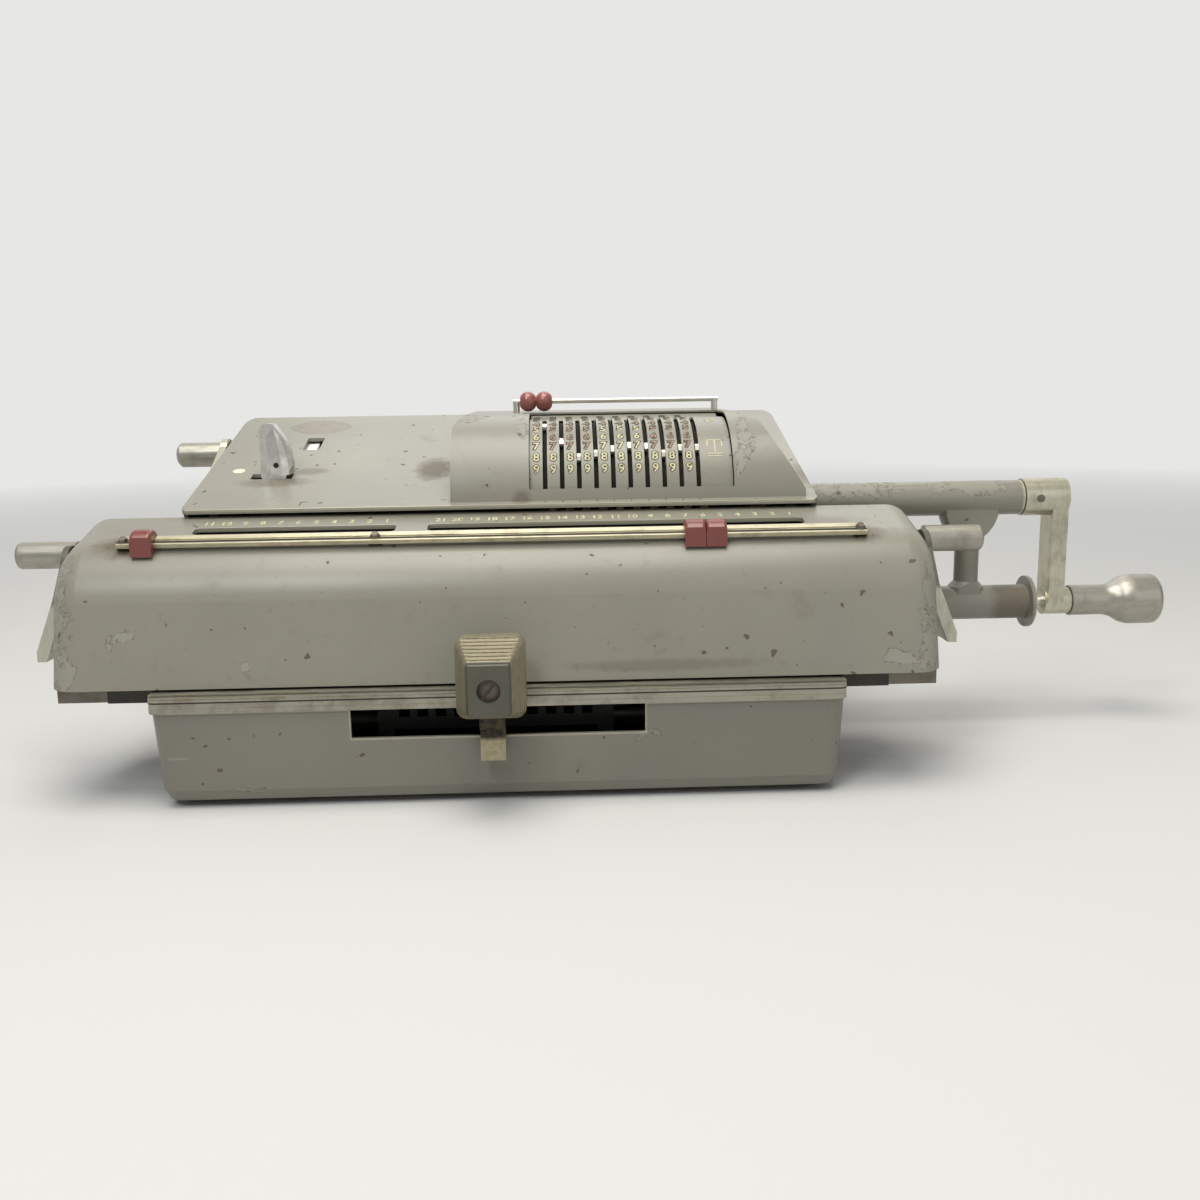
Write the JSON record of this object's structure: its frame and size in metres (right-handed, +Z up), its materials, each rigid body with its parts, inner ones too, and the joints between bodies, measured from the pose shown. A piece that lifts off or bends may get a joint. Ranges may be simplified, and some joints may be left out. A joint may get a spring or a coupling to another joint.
{
  "type": "pinwheel calculator",
  "caption": "Hand-cranked desk pinwheel calculator with lever-set slotted drum, sliding register carriage, clearing levers, sliding markers and side crank",
  "frame": {"origin": "centre of the bounding box in plan, at the underside of the rubber feet", "axes": "X along the carriage with the crank at +X, Y from the operator's side to the back, Z up"},
  "size_m": [0.497, 0.2002, 0.1507],
  "materials": {
    "case_paint": "worn warm grey stove enamel",
    "base_paint": "worn darker grey enamel",
    "bare_steel": "aged bare steel",
    "nickel": "aged nickel plate",
    "dull_aluminium": "dull and scratched",
    "brass": "tarnished",
    "grey_grip": "worn warm grey",
    "marker_rose": "faded dusty rose",
    "clear_knob": "clouded grey moulded",
    "window_strip": "black",
    "digit_wheel": "white enamelled",
    "black_rubber": "matt"
  },
  "bodies": {
    "machine": {"base_housing": "base_paint", "rubber_feet": "black_rubber", "left_side_frame": "bare_steel", "right_side_frame": "bare_steel", "frame_tie_rods": "bare_steel", "shaft_bushings": "brass", "guide_rail": "dull_aluminium", "position_rack": "bare_steel", "upper_cover": "case_paint", "setting_shell": "nickel", "rear_marker_rail": "nickel", "crank_bracket": "case_paint", "mode_lever_bracket": "bare_steel"},
    "carriage": {"carriage_cover": "case_paint", "counter_window_strip": "window_strip", "result_window_strip": "window_strip", "carriage_left_plate": "bare_steel", "carriage_right_plate": "bare_steel", "carriage_middle_plate": "bare_steel", "carriage_slide_rod": "bare_steel", "carriage_runner": "bare_steel", "front_marker_strip": "nickel", "marker_strip_screws": "nickel"},
    "result_register": {"result_shaft": "bare_steel", "result_wheels": "digit_wheel"},
    "counter_register": {"counter_shaft": "bare_steel", "counter_wheels": "digit_wheel"},
    "transfer_train": {"transfer_gears": "brass"},
    "result_clearing": {"result_clear_lever": "nickel", "result_clear_knob": "clear_knob"},
    "counter_clearing": {"counter_clear_lever": "nickel", "counter_clear_knob": "clear_knob"},
    "shift_handle": {"shift_knob": "nickel", "shift_knob_screw": "bare_steel", "shift_pawl": "bare_steel"},
    "marker_1": {"front_marker_1": "marker_rose"},
    "marker_2": {"front_marker_2": "marker_rose"},
    "marker_3": {"front_marker_3": "marker_rose"},
    "rear_beads": {"rear_bead_1": "marker_rose", "rear_bead_2": "marker_rose"},
    "crank": {"crank_shaft": "bare_steel", "crank_arm": "nickel", "crank_arm_pin": "bare_steel", "pinwheels": "brass", "drive_gear": "brass"},
    "grip": {"crank_grip": "grey_grip", "grip_spindle": "bare_steel"},
    "setting_clearing": {"setting_clear_lever": "nickel", "setting_clear_knob": "clear_knob"},
    "mode": {"mode_lever": "nickel"},
    "lever_1": {"setting_lever_1": "nickel"},
    "lever_2": {"setting_lever_2": "nickel"},
    "lever_3": {"setting_lever_3": "nickel"},
    "lever_4": {"setting_lever_4": "nickel"},
    "lever_5": {"setting_lever_5": "nickel"},
    "lever_6": {"setting_lever_6": "nickel"},
    "lever_7": {"setting_lever_7": "nickel"},
    "lever_8": {"setting_lever_8": "nickel"},
    "lever_9": {"setting_lever_9": "nickel"},
    "lever_10": {"setting_lever_10": "nickel"}
  },
  "joints": [
    {"name": "carriage_slide", "type": "slide", "parent": "machine", "child": "carriage", "axis": [1, 0, 0], "range_m": [-0.035, 0.035]},
    {"name": "result_clear_turn", "type": "hinge", "parent": "carriage", "child": "result_clearing", "pos_m": [0.12565, -0.0306, 0.0861], "axis": [1, 0, 0], "range_deg": [0, 60], "stiffness_Nm_per_rad": 0.03, "springref_deg": -34.38},
    {"name": "counter_clear_turn", "type": "hinge", "parent": "carriage", "child": "counter_clearing", "pos_m": [-0.21275, -0.0306, 0.0861], "axis": [1, 0, 0], "range_deg": [0, 60], "stiffness_Nm_per_rad": 0.03, "springref_deg": -34.38},
    {"name": "result_wheels_turn", "type": "hinge", "parent": "carriage", "child": "result_register", "pos_m": [0.00195, -0.0306, 0.0861], "axis": [1, 0, 0], "range_deg": [-2, 362]},
    {"name": "counter_wheels_turn", "type": "hinge", "parent": "carriage", "child": "counter_register", "pos_m": [-0.12405, -0.0306, 0.0861], "axis": [1, 0, 0], "range_deg": [-2, 362]},
    {"name": "transfer_turn", "type": "hinge", "parent": "carriage", "child": "transfer_train", "pos_m": [0.00195, -0.0187, 0.0759], "axis": [1, 0, 0], "range_deg": [-332, 2]},
    {"name": "shift_handle_turn", "type": "hinge", "parent": "carriage", "child": "shift_handle", "pos_m": [-0.04635, -0.0829, 0.0515], "axis": [1, 0, 0], "range_deg": [0, 7], "stiffness_Nm_per_rad": 0.4, "springref_deg": -11.46},
    {"name": "marker_1_slide", "type": "slide", "parent": "carriage", "child": "marker_1", "axis": [1, 0, 0], "range_m": [0, 0.06]},
    {"name": "marker_2_slide", "type": "slide", "parent": "carriage", "child": "marker_2", "axis": [1, 0, 0], "range_m": [-0.1, 0]},
    {"name": "marker_3_slide", "type": "slide", "parent": "carriage", "child": "marker_3", "axis": [1, 0, 0], "range_m": [0, 0.045]},
    {"name": "rear_beads_slide", "type": "slide", "parent": "machine", "child": "rear_beads", "axis": [1, 0, 0], "range_m": [0, 0.07]},
    {"name": "crank_turn", "type": "hinge", "parent": "machine", "child": "crank", "pos_m": [0.01645, 0.0214, 0.1012], "axis": [1, 0, 0], "continuous": true},
    {"name": "grip_slide", "type": "slide", "parent": "crank", "child": "grip", "axis": [1, 0, 0], "range_m": [-0.003, 0], "stiffness_N_per_m": 200, "springref_m": 0.001},
    {"name": "setting_clear_turn", "type": "hinge", "parent": "machine", "child": "setting_clearing", "pos_m": [-0.17355, 0.0214, 0.1012], "axis": [1, 0, 0], "range_deg": [0, 55], "stiffness_Nm_per_rad": 0.05, "springref_deg": -28.65},
    {"name": "mode_turn", "type": "hinge", "parent": "machine", "child": "mode", "pos_m": [-0.14215, 0.0149, 0.1108], "axis": [0, 1, 0], "range_deg": [-8, 8]},
    {"name": "lever_1_set", "type": "hinge", "parent": "crank", "child": "lever_1", "pos_m": [-0.02605, 0.0214, 0.1012], "axis": [1, 0, 0], "range_deg": [-38.93, 38.93]},
    {"name": "lever_2_set", "type": "hinge", "parent": "crank", "child": "lever_2", "pos_m": [-0.01905, 0.0214, 0.1012], "axis": [1, 0, 0], "range_deg": [-57.09, 20.76]},
    {"name": "lever_3_set", "type": "hinge", "parent": "crank", "child": "lever_3", "pos_m": [-0.01205, 0.0214, 0.1012], "axis": [1, 0, 0], "range_deg": [-70.06, 7.79]},
    {"name": "lever_4_set", "type": "hinge", "parent": "crank", "child": "lever_4", "pos_m": [-0.00505, 0.0214, 0.1012], "axis": [1, 0, 0], "range_deg": [-67.47, 10.38]},
    {"name": "lever_5_set", "type": "hinge", "parent": "crank", "child": "lever_5", "pos_m": [0.00195, 0.0214, 0.1012], "axis": [1, 0, 0], "range_deg": [-64.01, 13.84]},
    {"name": "lever_6_set", "type": "hinge", "parent": "crank", "child": "lever_6", "pos_m": [0.00895, 0.0214, 0.1012], "axis": [1, 0, 0], "range_deg": [-61.41, 16.44]},
    {"name": "lever_7_set", "type": "hinge", "parent": "crank", "child": "lever_7", "pos_m": [0.01595, 0.0214, 0.1012], "axis": [1, 0, 0], "range_deg": [-62.28, 15.57]},
    {"name": "lever_8_set", "type": "hinge", "parent": "crank", "child": "lever_8", "pos_m": [0.02295, 0.0214, 0.1012], "axis": [1, 0, 0], "range_deg": [-68.34, 9.51]},
    {"name": "lever_9_set", "type": "hinge", "parent": "crank", "child": "lever_9", "pos_m": [0.02995, 0.0214, 0.1012], "axis": [1, 0, 0], "range_deg": [-64.01, 13.84]},
    {"name": "lever_10_set", "type": "hinge", "parent": "crank", "child": "lever_10", "pos_m": [0.03695, 0.0214, 0.1012], "axis": [1, 0, 0], "range_deg": [-64.01, 13.84]}
  ],
  "couplings": [
    {"joint": "result_wheels_turn", "follows": "result_clear_turn", "ratio": 6},
    {"joint": "counter_wheels_turn", "follows": "counter_clear_turn", "ratio": 6},
    {"joint": "transfer_turn", "follows": "result_clear_turn", "ratio": -5.475}
  ]
}
